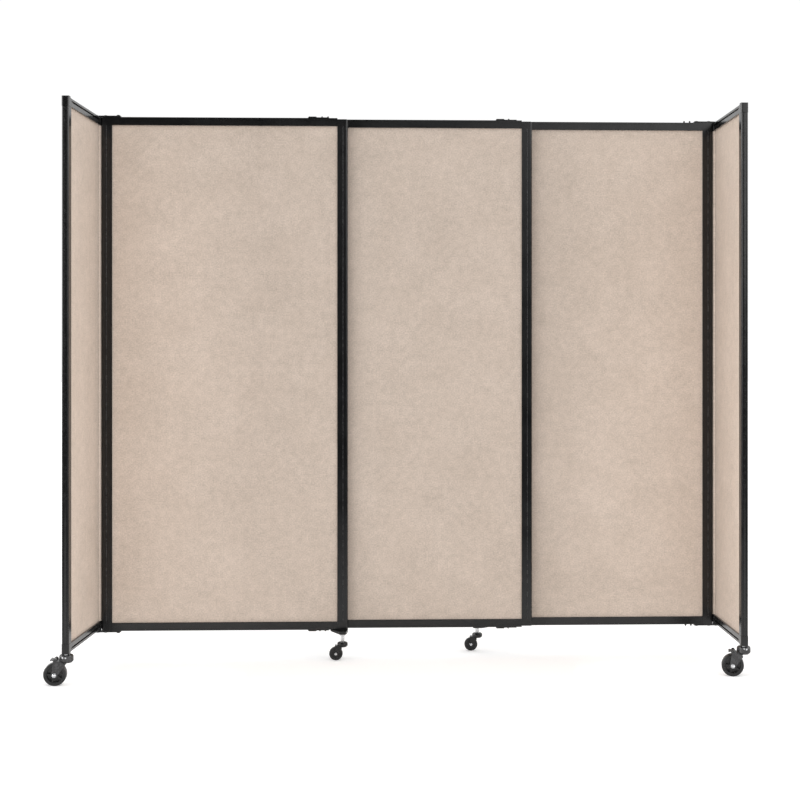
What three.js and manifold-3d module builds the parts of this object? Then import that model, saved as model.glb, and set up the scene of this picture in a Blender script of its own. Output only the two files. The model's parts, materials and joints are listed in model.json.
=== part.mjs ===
import * as THREE from "three";
import { mergeVertices } from "three/addons/utils/BufferGeometryUtils.js";
import Module from "manifold-3d";

// A telescoping privacy screen: three framed panels that slide behind each other, with a hinged wing at
// each end. It rolls on a large swivel caster under each wing and a small one under each outer panel.
// Sizes are in millimetres. +X runs along the wall to the right, +Y to the back and +Z up.

// Driving sizes of the wall
const panelWidth = 938;
const panelHeight = 1962;
const panelOverlap = 226;
const planePitch = 38;
const wingWidth = 528;
const wingTopDrop = 1;
const wingBottomRise = 7.5;
const leftWingSplay = 2.8;

// Frame bars
const frameThickness = 25.4;
const stileWidth = 40;
const hingeStileWidth = 26;
const railHeight = 31;
const barWall = 2.2;
const barCornerRadius = 1.2;
const outerEdgeRadius = 7;
const webThickness = 2;
const edgeSlotWidth = 9;
const faceGrooveWidth = 2.6;
const faceGrooveDepth = 1;
const stileGrooveInset = 17;
const railGrooveInset = 8;
const cornerBlockDrop = 4.5;
const cornerBlockRadius = 5;
const blockProud = 0.2;
const capProud = 0.8;
const capRise = 4.5;
const capLength = 25;
const capCornerRadius = 2;
const stemBoreRun = 3;
const tongueLength = 25;

// Infill boards and the channels that hold them
const boardThickness = 12.7;
const boardBevel = 0.8;
const channelDepth = 10;
const channelSideGap = 0.3;
const channelEndGap = 1;

// Track in the back face of each rail, and the glide studs that run in it
const trackMouth = 6.4;
const trackInner = 10.4;
const trackInset = 14;
const trackLip = 2;
const trackDepth = 6;
const glideNeckRadius = 2.9;
const glideHeadRadius = 4.8;
const glideHeadThickness = 3;
const glideBaseRadius = 7;
const glideBaseThickness = 3;

// Guides that carry the panel behind
const guideLength = 80;
const leftGuideInset = 72;
const middleGuideInset = 60;
const guideThickness = 1.6;
const guideClearance = 1;
const guideLipThickness = 3;
const guideLipDepth = 6;
const guideRibWidth = 30;
const guideRibHeight = 3;
const guideRibInset = 2;

// Wing hinges
const pivotOutboard = 16;
const pivotFromWingEnd = 9;
const knuckleTaper = 13.5;
const hingePostRadius = 14.5;
const strapReach = 72;
const strapWidth = 24;
const strapThickness = 5;
const pinRadius = 4;
const pinHeadRadius = 7.5;
const pinHeadHeight = 4;
const pinCollarRadius = 9;
const pinShortfall = 7;

// Brackets of the small casters
const bracketLength = 66;
const bracketThickness = 5;
const bracketReach = 56;
const bracketTipRadius = 15;
const bracketBossDrop = 5;
const bracketStemInset = 19;

// Fits
const seatGap = 0.15;
const runningGap = 0.3;
const overrun = 1;

// The two sizes of caster. Every caster trails to the left at rest.
const wingCaster = {
  wheelSides: 32,
  wheelRadius: 40,
  wheelWidth: 38,
  treadRound: 4.5,
  rimThickness: 10,
  rimRecess: 8,
  hubRadius: 13,
  trail: 39,
  sideGap: 2,
  hoodGap: 4,
  hoodThickness: 6,
  legThickness: 6,
  legBossRadius: 12,
  hoodStart: 42,
  hoodEnd: 94,
  headRadius: 25,
  headTop: 109.5,
  headHeight: 30,
  headRound: 7,
  headSlotWidth: 23,
  stemRadius: 6,
  footRadius: 9,
  footThickness: 4,
  nutRadius: 10.5,
  nutHeight: 6,
  axleRadius: 5,
  axleNutRadius: 8,
  axleNutHeight: 6,
  axleDomeRadius: 6.4,
};
const panelCaster = {
  wheelSides: 24,
  wheelRadius: 25.5,
  wheelWidth: 20,
  treadRound: 4,
  rimThickness: 7,
  rimRecess: 4.5,
  hubRadius: 8.5,
  trail: 25,
  sideGap: 1.6,
  hoodGap: 2.8,
  hoodThickness: 3.2,
  legThickness: 4,
  legBossRadius: 7.5,
  hoodStart: 42,
  hoodEnd: 97,
  headRadius: 20,
  headTop: 70,
  headHeight: 20,
  headRound: 6,
  stemRadius: 7,
  footRadius: 9.5,
  footThickness: 3,
  nutRadius: 10.5,
  nutHeight: 5,
  axleRadius: 3.5,
  axleNutRadius: 5.5,
  axleNutHeight: 3,
};
const headGap = 1.5;
const leftCasterTurn = 3;
const rightCasterTurn = -10;
const pedalPivotAngle = 88;
const pedalPivotRadius = 50;
const pedalBarrelRadius = 4.5;
const pedalTrunnionRadius = 3;
const pedalEarRadius = 7;
const pedalLength = 17;
const pedalThickness = 4;
const pedalAngle = 172;
const pedalSideGap = 0.6;

// Facets of round shapes
const roundSides = 24;
const stemSides = 16;
const pinSides = 12;
const hexSides = 6;
const cornerSteps = 2;
const arcSteps = 4;
const postSteps = 9;
const domeSides = 12;

// Places worked out from the sizes
const panelStep = panelWidth - panelOverlap;
const wallLength = panelWidth + panelStep + panelStep;
const wingBottom = wingCaster.headTop + headGap + capRise;
const panelClearance = wingBottom - wingBottomRise;
const panelTop = panelClearance + panelHeight;
const wingHeight = panelHeight - wingTopDrop - wingBottomRise;
const halfFrame = frameThickness / 2;
const channelHalf = boardThickness / 2 + channelSideGap;
const panelSpacing = planePitch - frameThickness;
const trackFloor = halfFrame - trackDepth;
const wingReach = wingWidth - pivotFromWingEnd;
const pinEngagement = railHeight - pinShortfall;
const stemBoreTop = railHeight + stemBoreRun;
const bracketDepth = bracketThickness + bracketBossDrop;

const wasm = await Module();
wasm.setup();

// Finishes
function finish(color, roughness, metalness) {
  return new THREE.MeshStandardMaterial({ color, roughness, metalness });
}
const frameFinish = finish(0x1d1e20, 0.42, 0.6);
const plasticFinish = finish(0x1a1b1c, 0.5, 0);
const fabricFinish = finish(0xcdbeb0, 0.95, 0);
const steelFinish = finish(0x26272a, 0.4, 0.7);
const zincFinish = finish(0xc8cacc, 0.3, 0.9);
const tyreFinish = finish(0x202123, 0.6, 0);
const nylonFinish = finish(0x2a2b2d, 0.55, 0);

function degrees(angle) {
  return THREE.MathUtils.degToRad(angle);
}

// Solids for cutting and joining
function solidOf(geometry) {
  const bare = geometry.index ? geometry.toNonIndexed() : geometry.clone();
  bare.deleteAttribute("normal");
  bare.deleteAttribute("uv");
  const merged = mergeVertices(bare);
  return new wasm.Manifold(
    new wasm.Mesh({
      numProp: 3,
      vertProperties: merged.attributes.position.array,
      triVerts: new Uint32Array(merged.index.array),
    }),
  );
}

function geometryOf(solid) {
  const mesh = solid.getMesh();
  const geometry = new THREE.BufferGeometry();
  geometry.setAttribute("position", new THREE.BufferAttribute(mesh.vertProperties, 3));
  geometry.setIndex(new THREE.BufferAttribute(mesh.triVerts, 1));
  return geometry.toNonIndexed();
}

function joined(first, ...others) {
  return others.reduce((whole, next) => whole.add(solidOf(next)), solidOf(first));
}

function cut(whole, ...tools) {
  return tools.reduce((rest, tool) => rest.subtract(solidOf(tool)), whole);
}

// A closed outline from corners [x, y] or [x, y, radius].
function outline(corners) {
  const shape = new THREE.Shape();
  corners.forEach(([x, y, radius = 0], i) => {
    const before = corners[(i + corners.length - 1) % corners.length];
    const after = corners[(i + 1) % corners.length];
    const start = towards(x, y, before, radius);
    const end = towards(x, y, after, radius);
    if (i === 0) shape.moveTo(start.x, start.y);
    else shape.lineTo(start.x, start.y);
    if (radius > 0) shape.quadraticCurveTo(x, y, end.x, end.y);
  });
  shape.closePath();
  return shape;
}

function towards(x, y, [targetX, targetY], distance) {
  const step = new THREE.Vector2(targetX - x, targetY - y).setLength(distance);
  return step.add(new THREE.Vector2(x, y));
}

function extruded(shape, depth, steps = cornerSteps) {
  return new THREE.ExtrudeGeometry(shape, { depth, bevelEnabled: false, curveSegments: steps });
}

// An outline in (x, y) raised from z = low to z = high.
function raised(shape, low, high, steps) {
  return extruded(shape, high - low, steps).translate(0, 0, low);
}

// An outline in (y, z) drawn along X from low to high.
function drawnAlongX(shape, low, high, steps) {
  const quarter = Math.PI / 2;
  return extruded(shape, high - low, steps).rotateX(quarter).rotateZ(quarter).translate(low, 0, 0);
}

// An outline in (x, z) drawn along Y from low to high.
function drawnAlongY(shape, low, high, steps) {
  return extruded(shape, high - low, steps).rotateX(Math.PI / 2).translate(0, high, 0);
}

function block(lowX, highX, lowY, highY, lowZ, highZ) {
  const box = new THREE.BoxGeometry(highX - lowX, highY - lowY, highZ - lowZ);
  return box.translate((lowX + highX) / 2, (lowY + highY) / 2, (lowZ + highZ) / 2);
}

// A round solid about Z from a closed profile of (radius, z).
function turned(profile, sides = roundSides) {
  const points = profile.map(([radius, z]) => new THREE.Vector2(radius, z));
  const first = points[0];
  const last = points[points.length - 1];
  if (first.x > 0 || last.x > 0) points.push(first.clone());
  const facetTurn = Math.PI / sides;
  return new THREE.LatheGeometry(points, sides, facetTurn, Math.PI * 2).rotateX(Math.PI / 2);
}

function rod(radius, low, high, sides = roundSides) {
  return turned([[0, low], [radius, low], [radius, high], [0, high]], sides);
}

// A rod along Y, centred at (x, z).
function crossRod(radius, halfLength, x, z, sides = roundSides) {
  return rod(radius, -halfLength, halfLength, sides).rotateX(Math.PI / 2).translate(x, 0, z);
}

// The radius at which a faceted bore clears a faceted shaft at every angle.
function boreRadius(shaftRadius, clearance, sides = pinSides) {
  return (shaftRadius + clearance) / Math.cos(Math.PI / sides);
}

// Frame bars
// Section of a stile in (x, y): the slotted outer edge is at x = 0 and the board's channel faces +x.
function stileSection(width, cornerRadius) {
  const channelFloor = width - channelDepth;
  const cavityEnd = channelFloor - webThickness;
  const cavityHalf = halfFrame - barWall;
  const slotHalf = edgeSlotWidth / 2;
  const grooveEnd = stileGrooveInset + faceGrooveWidth;
  const grooveFloor = halfFrame - faceGrooveDepth;
  const half = [
    [0, slotHalf],
    [0, halfFrame, cornerRadius],
    [stileGrooveInset, halfFrame],
    [stileGrooveInset, grooveFloor],
    [grooveEnd, grooveFloor],
    [grooveEnd, halfFrame],
    [width, halfFrame, barCornerRadius],
    [width, channelHalf],
    [channelFloor, channelHalf],
  ];
  const inner = [
    [cavityEnd, -cavityHalf],
    [cavityEnd, cavityHalf],
    [barWall, cavityHalf],
    [barWall, slotHalf],
  ];
  const mirrored = half.map(([x, y, radius]) => [x, -y, radius]).reverse();
  const slotSide = [barWall, -slotHalf];
  const cavityCorner = [barWall, -cavityHalf];
  return outline([...half, ...mirrored, slotSide, cavityCorner, ...inner]);
}

// Section of a rail in (y, z): the outer edge is at z = 0 and the board's channel faces +z.
function railSection() {
  const channelFloor = railHeight - channelDepth;
  const grooveEnd = railGrooveInset + faceGrooveWidth;
  const grooveFloor = faceGrooveDepth - halfFrame;
  const mouthLow = trackInset - trackMouth / 2;
  const mouthHigh = trackInset + trackMouth / 2;
  const innerLow = trackInset - trackInner / 2;
  const innerHigh = trackInset + trackInner / 2;
  const lipFace = halfFrame - trackLip;
  const shape = outline([
    [-halfFrame, 0, barCornerRadius],
    [halfFrame, 0, barCornerRadius],
    [halfFrame, mouthLow],
    [lipFace, mouthLow],
    [lipFace, innerLow],
    [trackFloor, innerLow],
    [trackFloor, innerHigh],
    [lipFace, innerHigh],
    [lipFace, mouthHigh],
    [halfFrame, mouthHigh],
    [halfFrame, railHeight, barCornerRadius],
    [channelHalf, railHeight],
    [channelHalf, channelFloor],
    [-channelHalf, channelFloor],
    [-channelHalf, railHeight],
    [-halfFrame, railHeight, barCornerRadius],
    [-halfFrame, grooveEnd],
    [grooveFloor, grooveEnd],
    [grooveFloor, railGrooveInset],
    [-halfFrame, railGrooveInset],
  ]);
  const chamber = chamberBox(0);
  const hole = new THREE.Path();
  hole.moveTo(chamber.front, chamber.low);
  hole.lineTo(chamber.front, chamber.high);
  hole.lineTo(chamber.back, chamber.high);
  hole.lineTo(chamber.back, chamber.low);
  hole.closePath();
  shape.holes.push(hole);
  return shape;
}

// The hollow of a rail, drawn in by a clearance for the tongue that plugs into it.
function chamberBox(clearance) {
  return {
    front: barWall - halfFrame + clearance,
    back: trackFloor - barWall - clearance,
    low: barWall + clearance,
    high: railHeight - channelDepth - webThickness - clearance,
  };
}

// The moulded block at a frame corner, with its tongue and the pocket for the board's corner.
function cornerBlock(width, drop, cornerRadius, capped) {
  const side = width - blockProud;
  const halfBlock = halfFrame + blockProud;
  const face = outline([
    [-blockProud, drop, cornerBlockRadius],
    [side, drop],
    [side, railHeight],
    [-blockProud, railHeight],
  ]);
  const plan = outline([
    [-blockProud, -halfBlock, cornerRadius],
    [side + overrun, -halfBlock],
    [side + overrun, halfBlock],
    [-blockProud, halfBlock, cornerRadius],
  ]);
  const tongue = chamberBox(runningGap);
  const body = solidOf(drawnAlongY(face, -halfBlock - overrun, halfBlock + overrun)).intersect(
    solidOf(raised(plan, drop - overrun, railHeight + overrun, arcSteps)),
  );
  const tongueLow = Math.max(tongue.low, drop + overrun);
  const plug = block(
    width - overrun, width + tongueLength, tongue.front, tongue.back, tongueLow, tongue.high,
  );
  const solid = capped ? body.add(endCap(cornerRadius)) : body;
  const pocketHalf = channelHalf + blockProud;
  const pocket = block(
    width - channelDepth - blockProud, width + overrun, -pocketHalf, pocketHalf,
    railHeight - channelDepth, railHeight + overrun,
  );
  return solid.add(solidOf(plug)).subtract(solidOf(pocket));
}

// The cap over the free end of a wing stands proud of its block on every side.
function endCap(cornerRadius) {
  const half = halfFrame + capProud;
  const face = outline([
    [-capProud, -capRise, capCornerRadius],
    [capLength, -capRise, capCornerRadius],
    [capLength, railHeight],
    [-capProud, railHeight],
  ]);
  const plan = outline([
    [-capProud, -half, cornerRadius],
    [capLength + overrun, -half],
    [capLength + overrun, half],
    [-capProud, half, cornerRadius],
  ]);
  return solidOf(drawnAlongY(face, -half - overrun, half + overrun)).intersect(
    solidOf(raised(plan, -capRise - overrun, railHeight + overrun, arcSteps)),
  );
}

// A bar between two moulded blocks, the upper one a mirror of the lower one.
function barWithBlocks(bar, lower, height, ...holes) {
  const upper = lower.mirror([0, 0, 1]).translate([0, 0, height]);
  return geometryOf(cut(solidOf(bar).add(lower).add(upper), ...holes));
}

function stile(width, height, drop, cornerRadius, capped, ...holes) {
  const barEnd = railHeight - overrun;
  const section = stileSection(width, cornerRadius);
  const bar = raised(section, barEnd, height - barEnd, arcSteps);
  return barWithBlocks(bar, cornerBlock(width, drop, cornerRadius, capped), height, ...holes);
}

// The hinge stile of a wing: a round post about the pivot, between two knuckles.
function hingeStile(...holes) {
  const barEnd = railHeight - overrun;
  const post = raised(hingePostSection(), barEnd, wingHeight - barEnd, postSteps);
  const plan = raised(knucklePlan(), -overrun, railHeight + overrun, arcSteps);
  const knuckle = cornerBlock(hingeStileWidth, 0, 0, false).intersect(solidOf(plan));
  return barWithBlocks(post, knuckle, wingHeight, ...holes);
}

// Section of the hinge post in (x, y): a tube with a slot for the board towards +x.
function hingePostSection() {
  const bore = hingePostRadius - barWall;
  const lip = Math.asin(channelHalf / hingePostRadius);
  const innerLip = Math.asin(channelHalf / bore);
  const section = new THREE.Shape();
  section.absarc(pivotFromWingEnd, 0, hingePostRadius, lip, Math.PI * 2 - lip, false);
  section.absarc(pivotFromWingEnd, 0, bore, Math.PI * 2 - innerLip, innerLip, true);
  section.closePath();
  return section;
}

// A knuckle in (x, y): as thick as the frame at the rail, tapering to a round end about the pivot.
function knucklePlan() {
  const half = halfFrame + blockProud + overrun;
  const tongueEnd = hingeStileWidth + tongueLength + overrun;
  const taperEnd = pivotFromWingEnd + knuckleTaper;
  const plan = new THREE.Shape();
  plan.moveTo(tongueEnd, -half);
  plan.lineTo(tongueEnd, half);
  plan.lineTo(taperEnd, half);
  plan.absarc(pivotFromWingEnd, 0, pivotFromWingEnd, Math.PI / 2, Math.PI * 1.5, false);
  plan.lineTo(taperEnd, -half);
  plan.closePath();
  return plan;
}

function rail(length) {
  return drawnAlongX(railSection(), seatGap, length - seatGap);
}

function board(width, height) {
  const bevelled = outline([
    [-boardThickness / 2, 0, boardBevel],
    [boardThickness / 2, 0, boardBevel],
    [boardThickness / 2, height, boardBevel],
    [-boardThickness / 2, height, boardBevel],
  ]);
  return drawnAlongX(bevelled, 0, width, 1);
}

const screen = new THREE.Group();

function piece(parent, name, geometry, material, x = 0, y = 0, z = 0) {
  const mesh = new THREE.Mesh(geometry, material);
  mesh.name = name;
  mesh.position.set(x, y, z);
  parent.add(mesh);
  return mesh;
}

// One frame with its board. The left stile's outer edge is at x = 0 and the bottom is at z = 0.
function framedBoard(parent, name, width, height, left, right, leftWidth, rightWidth) {
  const railLength = width - leftWidth - rightWidth;
  const hidden = channelDepth - channelEndGap;
  piece(parent, `${name}_${left.name}`, left.geometry, frameFinish);
  piece(parent, `${name}_${right.name}`, right.geometry, frameFinish, width).scale.x = -1;
  piece(parent, `${name}_bottom_rail`, rail(railLength), frameFinish, leftWidth);
  piece(parent, `${name}_top_rail`, rail(railLength), frameFinish, leftWidth, 0, height).scale.z = -1;
  const boardWidth = railLength + hidden + hidden;
  const boardHeight = height - railHeight - railHeight + hidden + hidden;
  const infill = board(boardWidth, boardHeight);
  piece(parent, `${name}_board`, infill, fabricFinish, leftWidth - hidden, 0, railHeight - hidden);
}

// Sliding panels
// Its corner blocks are drawn in by the drops, except where a hinge strap lies on them.
function slidingPanel(name, x, y, leftDrop, rightDrop) {
  const panel = new THREE.Group();
  panel.position.set(x, y, panelClearance);
  const left = stile(stileWidth, panelHeight, leftDrop, outerEdgeRadius, false);
  const right = stile(stileWidth, panelHeight, rightDrop, outerEdgeRadius, false);
  framedBoard(
    panel, name, panelWidth, panelHeight,
    { name: "left_stile", geometry: left }, { name: "right_stile", geometry: right },
    stileWidth, stileWidth,
  );
  screen.add(panel);
  return panel;
}

// The guide near the right end of a panel: it hooks over the rails of the panel behind.
function guide() {
  const underside = seatGap;
  const relief = guideClearance;
  const plateTop = guideClearance + guideThickness;
  const lipFace = planePitch + halfFrame + guideClearance;
  const lipBack = lipFace + guideLipThickness;
  const section = outline([
    [-halfFrame, underside],
    [halfFrame, underside],
    [halfFrame, relief],
    [lipFace, relief],
    [lipFace, -guideLipDepth],
    [lipBack, -guideLipDepth],
    [lipBack, plateTop, barCornerRadius],
    [-halfFrame, plateTop, barCornerRadius],
  ]);
  const rib = block(
    guideRibInset, guideRibInset + guideRibWidth, guideRibInset - halfFrame, lipBack - guideRibInset,
    plateTop - overrun, plateTop + guideRibHeight,
  );
  return geometryOf(joined(drawnAlongX(section, 0, guideLength), rib));
}

function addGuides(panel, name, inset) {
  const x = panelWidth - inset - guideLength;
  piece(panel, `${name}_top_guide`, guide(), steelFinish, x, 0, panelHeight);
  piece(panel, `${name}_bottom_guide`, guide(), steelFinish, x).scale.z = -1;
}

// A glide stud on the front of a panel's left end: its head runs in the track of the panel in front.
function glideStud() {
  const neckStart = glideBaseThickness;
  const headStart = panelSpacing + trackLip + runningGap;
  const headEnd = Math.min(headStart + glideHeadThickness, panelSpacing + trackDepth - runningGap);
  const seat = blockProud + seatGap;
  const profile = [
    [0, seat],
    [glideBaseRadius, seat],
    [glideBaseRadius, neckStart],
    [glideNeckRadius, neckStart],
    [glideNeckRadius, headStart],
    [glideHeadRadius, headStart],
    [glideHeadRadius, headEnd],
    [0, headEnd],
  ];
  return turned(profile, pinSides).rotateX(Math.PI / 2).translate(0, -halfFrame, 0);
}

function addGlides(panel, name) {
  const x = stileWidth / 2;
  piece(panel, `${name}_top_glide`, glideStud(), nylonFinish, x, 0, panelHeight - trackInset);
  piece(panel, `${name}_bottom_glide`, glideStud(), nylonFinish, x, 0, trackInset);
}

// Wings
function wing(name, pivotX, pivotY, hand, splay) {
  const group = new THREE.Group();
  group.position.set(pivotX, pivotY, wingBottom);
  group.rotation.z = hand * degrees(splay) - Math.PI / 2;
  group.scale.y = hand;
  const frame = new THREE.Group();
  frame.position.x = -pivotFromWingEnd;
  group.add(frame);
  const pinBore = boreRadius(pinRadius, runningGap);
  const boreDepth = pinEngagement + overrun;
  const lowBore = rod(pinBore, -overrun, boreDepth, stemSides).translate(pivotFromWingEnd, 0, 0);
  const highBore = lowBore.clone().translate(0, 0, wingHeight - boreDepth + overrun);
  const hingeSide = hingeStile(lowBore, highBore);
  const stemBore = rod(
    boreRadius(wingCaster.stemRadius, runningGap), -capRise - overrun, stemBoreTop, stemSides,
  );
  stemBore.translate(stileWidth / 2, 0, 0);
  const endStile = stile(stileWidth, wingHeight, 0, outerEdgeRadius, true, stemBore);
  framedBoard(
    frame, name, wingWidth, wingHeight,
    { name: "hinge_stile", geometry: hingeSide }, { name: "end_stile", geometry: endStile },
    hingeStileWidth, stileWidth,
  );
  screen.add(group);
}

// A hinge strap lies on the panel's rail and reaches out to the wing's pivot, which is at x = 0.
function hingeStrap() {
  const inboard = pivotOutboard + strapReach;
  const halfWidth = strapWidth / 2;
  const plan = new THREE.Shape();
  plan.moveTo(inboard, -halfWidth);
  plan.lineTo(inboard, halfWidth);
  plan.lineTo(0, halfWidth);
  plan.absarc(0, 0, halfWidth, Math.PI / 2, Math.PI * 1.5, false);
  plan.closePath();
  const hole = rod(boreRadius(pinRadius, seatGap), -overrun, strapThickness + overrun, stemSides);
  return cut(solidOf(raised(plan, seatGap, strapThickness, arcSteps)), hole);
}

// A pivot pin: its head is on the strap and its collar takes up the space down to the wing.
function hingePin(spaceToWing) {
  const headBase = strapThickness + seatGap;
  const headTop = headBase + pinHeadHeight;
  const crown = pinHeadRadius / 2;
  return turned([
    [0, -spaceToWing - pinEngagement],
    [pinRadius, -spaceToWing - pinEngagement],
    [pinRadius, -spaceToWing + runningGap],
    [pinCollarRadius, -spaceToWing + runningGap],
    [pinCollarRadius, 0],
    [pinRadius, 0],
    [pinRadius, headBase],
    [pinHeadRadius, headBase],
    [pinHeadRadius, headBase + pinHeadHeight / 2],
    [crown, headTop],
    [0, headTop],
  ], stemSides);
}

function hinge(side, pivotX, pivotY, hand) {
  const strap = geometryOf(hingeStrap());
  const places = [
    ["top", panelTop, 1, wingTopDrop],
    ["bottom", panelClearance, -1, wingBottomRise],
  ];
  places.forEach(([level, z, up, space]) => {
    const name = `${side}_hinge_${level}`;
    piece(screen, `${name}_strap`, strap, steelFinish, pivotX, pivotY, z).scale.set(hand, 1, up);
    piece(screen, `${name}_pin`, hingePin(space), zincFinish, pivotX, pivotY, z).scale.z = up;
  });
}

// The bracket of a small caster: a tapered arm from under the end of the bottom rail to the stem.
// It is drawn for the right end of a panel whose edge is at x = 0, reaching forward.
function casterBracket() {
  const tipX = -bracketStemInset;
  const plan = new THREE.Shape();
  plan.moveTo(0, halfFrame);
  plan.lineTo(-bracketLength, halfFrame);
  plan.lineTo(-bracketLength, -halfFrame);
  plan.lineTo(tipX - bracketTipRadius, -bracketReach);
  plan.absarc(tipX, -bracketReach, bracketTipRadius, Math.PI, Math.PI * 2, false);
  plan.lineTo(0, -halfFrame);
  plan.closePath();
  const thick = bracketDepth;
  const side = outline([
    [-bracketLength, -seatGap],
    [-bracketLength, -bracketThickness],
    [tipX - bracketTipRadius, -thick, bracketThickness],
    [0, -thick],
    [0, -seatGap],
  ]);
  const arm = solidOf(raised(plan, -thick - overrun, overrun, arcSteps)).intersect(
    solidOf(drawnAlongY(side, -bracketReach - bracketTipRadius - overrun, halfFrame)),
  );
  const pad = block(
    seatGap - stileWidth, 0, -halfFrame, halfFrame, -bracketThickness, cornerBlockDrop - seatGap,
  );
  const stemHole = rod(
    boreRadius(panelCaster.stemRadius, seatGap), -thick - overrun, overrun, stemSides,
  );
  stemHole.translate(tipX, -bracketReach, 0);
  return geometryOf(cut(arm.add(solidOf(pad)), stemHole));
}

// Casters. Each is drawn with its stem on Z and the wheel trailing towards -x on the floor z = 0.
function casterWheel(c) {
  const edge = c.wheelWidth / 2;
  const web = edge - c.rimRecess;
  const shoulder = c.wheelRadius - c.treadRound / 2;
  const rim = c.wheelRadius - c.rimThickness;
  const bore = boreRadius(c.axleRadius, runningGap);
  const facetRadius = c.wheelRadius / Math.cos(Math.PI / c.wheelSides);
  const profile = [
    [bore, -edge],
    [c.hubRadius, -edge],
    [c.hubRadius, -web],
    [rim, -web],
    [rim, -edge],
    [shoulder, -edge],
    [facetRadius, c.treadRound - edge],
    [facetRadius, edge - c.treadRound],
    [shoulder, edge],
    [rim, edge],
    [rim, web],
    [c.hubRadius, web],
    [c.hubRadius, edge],
    [bore, edge],
  ];
  return turned(profile, c.wheelSides).rotateX(Math.PI / 2).translate(-c.trail, 0, c.wheelRadius);
}

// Outline of the fork in (x, z) about the axle: a boss that widens to the hood over the wheel.
function forkOutline(c) {
  const outer = c.wheelRadius + c.hoodGap + c.hoodThickness;
  const start = degrees(c.hoodStart);
  const end = degrees(c.hoodEnd);
  const turn = Math.PI / 2;
  const fork = new THREE.Shape();
  fork.absarc(0, 0, outer, start, end, false);
  fork.absarc(0, 0, c.legBossRadius, end + turn / 2, start - turn / 2 + Math.PI * 2, false);
  fork.closePath();
  return fork;
}

function casterFork(c, ...extras) {
  const inner = c.wheelWidth / 2 + c.sideGap;
  const outer = inner + c.legThickness;
  const hood = drawnAlongY(forkOutline(c), -outer, outer, cornerSteps);
  hood.translate(-c.trail, 0, c.wheelRadius);
  const base = c.headTop - c.headHeight;
  const head = turned([
    [0, base],
    [c.headRadius - c.headRound, base],
    [c.headRadius, base + c.headRound],
    [c.headRadius, c.headTop - c.headRound],
    [c.headRadius - c.headRound / 3, c.headTop - c.headRound / 3],
    [c.headRadius - c.headRound, c.headTop],
    [0, c.headTop],
  ]);
  const wheelSpace = crossRod(
    boreRadius(c.wheelRadius, c.hoodGap), inner, -c.trail, c.wheelRadius,
  );
  const stemHole = rod(boreRadius(c.stemRadius, runningGap), 0, c.headTop + overrun, stemSides);
  const footHole = rod(
    boreRadius(c.footRadius, runningGap), 0, stemFootTop(c) + runningGap, stemSides,
  );
  const body = joined(head, hood, ...extras);
  return cut(body, wheelSpace, stemHole, footHole);
}

function stemFootTop(c) {
  return c.headTop - c.headHeight / 2;
}

// The small caster's fork has its axle riveted through the legs.
function forkWithRivet(c) {
  const reach = c.wheelWidth / 2 + c.sideGap + c.legThickness;
  const rivetEnd = reach + c.axleNutHeight;
  const rivet = crossRod(c.axleRadius, reach, -c.trail, c.wheelRadius, stemSides);
  const heads = [-1, 1].map((side) => {
    const low = Math.min(side * (reach - overrun), side * rivetEnd);
    const high = Math.max(side * (reach - overrun), side * rivetEnd);
    const head = rod(c.axleNutRadius, low, high, stemSides);
    return head.rotateX(Math.PI / 2).translate(-c.trail, 0, c.wheelRadius);
  });
  const fork = casterFork(c);
  return geometryOf([rivet, ...heads].reduce((whole, next) => whole.add(solidOf(next)), fork));
}

function casterAxle(c) {
  const reach = c.wheelWidth / 2 + c.sideGap + c.legThickness + seatGap;
  const quarter = Math.PI / 2;
  const shank = rod(c.axleRadius, -reach - overrun, reach + overrun, stemSides).rotateX(quarter);
  const nuts = [quarter, -quarter].flatMap((turn) => capNut(c, reach).map((part) => part.rotateX(turn)));
  return geometryOf(joined(shank, ...nuts)).translate(-c.trail, 0, c.wheelRadius);
}

// A cap nut on z = base: a hexagon and the dome over it.
function capNut(c, base) {
  const domeCentre = base + c.axleNutHeight;
  const hexagon = rod(c.axleNutRadius, base, domeCentre, hexSides);
  const dome = new THREE.SphereGeometry(c.axleDomeRadius, domeSides, domeSides / 2);
  return [hexagon, dome.rotateX(Math.PI / 2).translate(0, 0, domeCentre)];
}

// The stem stands in the fork's head and in what the caster carries. A nut clamps it from below.
function nutBase(c, carriedAt) {
  return carriedAt - c.nutHeight - seatGap;
}

function casterStem(c, carriedAt, depth) {
  const footTop = stemFootTop(c);
  const nutLow = nutBase(c, carriedAt);
  const shankTop = carriedAt + depth - overrun - runningGap;
  const shank = rod(c.stemRadius, footTop - overrun, shankTop, stemSides);
  const foot = rod(c.footRadius, footTop - c.footThickness, footTop, stemSides);
  const nut = rod(c.nutRadius, nutLow, carriedAt - seatGap, hexSides);
  return geometryOf(joined(shank, foot, nut));
}

// Brake pedal of a wing caster, about the pivot at (0, 0) in (x, z).
function pedalPlace(c) {
  const angle = degrees(pedalPivotAngle);
  return {
    x: -c.trail + pedalPivotRadius * Math.cos(angle),
    z: c.wheelRadius + pedalPivotRadius * Math.sin(angle),
  };
}

function brakePedal(c) {
  const inner = c.wheelWidth / 2 + c.sideGap;
  const padHalf = inner - pedalSideGap;
  const outer = inner + c.legThickness;
  const place = pedalPlace(c);
  const halfThick = pedalThickness / 2;
  const tab = outline([
    [0, -halfThick],
    [pedalLength, -halfThick, halfThick],
    [pedalLength, pedalThickness + halfThick, halfThick],
    [pedalLength - pedalThickness, halfThick],
    [0, halfThick],
  ]);
  const pad = drawnAlongY(tab, -padHalf, padHalf).rotateY(-degrees(pedalAngle));
  const barrel = crossRod(pedalBarrelRadius, padHalf, 0, 0, pinSides);
  const trunnions = crossRod(pedalTrunnionRadius, outer, 0, 0, pinSides);
  return geometryOf(joined(barrel, pad, trunnions)).translate(place.x, 0, place.z);
}

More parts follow.
